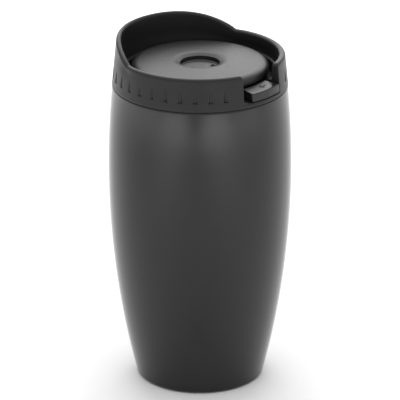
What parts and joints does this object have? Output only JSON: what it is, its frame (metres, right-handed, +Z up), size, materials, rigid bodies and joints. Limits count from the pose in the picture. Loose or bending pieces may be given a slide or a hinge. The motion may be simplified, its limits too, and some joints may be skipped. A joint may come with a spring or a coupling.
{
  "type": "insulated tumbler",
  "caption": "Barrel-shaped double-walled tumbler with a screw lid: raised drinking lip, sliding thumb lever and shutter, domed cover with a recessed vent button.",
  "frame": {"origin": "middle of the base, on the surface it stands on", "axes": "+Z up the tumbler's axis; the thumb lever faces -Y, the drinking lip faces +Y"},
  "size_m": [0.0884, 0.0884, 0.1741],
  "materials": {
    "lacquered_steel": "gloss metallic lacquer, gunmetal",
    "bare_steel": "satin stainless",
    "copper": "thin bright copper foil",
    "getter_pellet": "sintered grey",
    "foot_rubber": "matt black rubber",
    "lid_plastic": "fine-textured black polypropylene",
    "lever_plastic": "fine-textured black polypropylene",
    "inner_plastic": "plain moulded black polypropylene",
    "button_plastic": "fine-textured black polypropylene",
    "silicone": "soft grey silicone"
  },
  "bodies": {
    "flask": {"outer_shell": "lacquered_steel", "inner_liner": "bare_steel", "copper_foil": "copper", "base_disc": "bare_steel", "getter": "getter_pellet", "vacuum_seal": "bare_steel", "base_pad": "foot_rubber"},
    "lid_gasket": {"lid_gasket": "silicone"},
    "lid": {"lid_body": "lid_plastic", "valve_seat": "inner_plastic", "seat_o_ring": "silicone", "dial_cover": "lid_plastic", "button_spring": "bare_steel"},
    "lever": {"shutter": "inner_plastic", "shutter_seal": "silicone", "hub_o_ring": "silicone", "thumb_lever": "lever_plastic", "lever_pins": "bare_steel"},
    "button": {"vent_button": "button_plastic", "vent_valve": "silicone", "valve_clip": "bare_steel"}
  },
  "joints": [
    {"name": "lid_rise", "type": "slide", "parent": "flask", "child": "lid_gasket", "axis": [0, 0, 1], "range_m": [0, 0.012]},
    {"name": "lid_turn", "type": "hinge", "parent": "lid_gasket", "child": "lid", "pos_m": [0, 0, 0.1496], "axis": [0, 0, 1], "range_deg": [0, 360]},
    {"name": "lever_swing", "type": "hinge", "parent": "lid", "child": "lever", "pos_m": [0, 0, 0.1527], "axis": [0, 0, 1], "range_deg": [-6, 0]},
    {"name": "button_press", "type": "slide", "parent": "lid", "child": "button", "axis": [0, 0, -1], "range_m": [0, 0.0015], "stiffness_N_per_m": 400, "springref_m": -0.002, "deforming": ["button_spring"]}
  ],
  "couplings": [
    {"joint": "lid_rise", "follows": "lid_turn", "m_per_rad": 0.0019099}
  ]
}
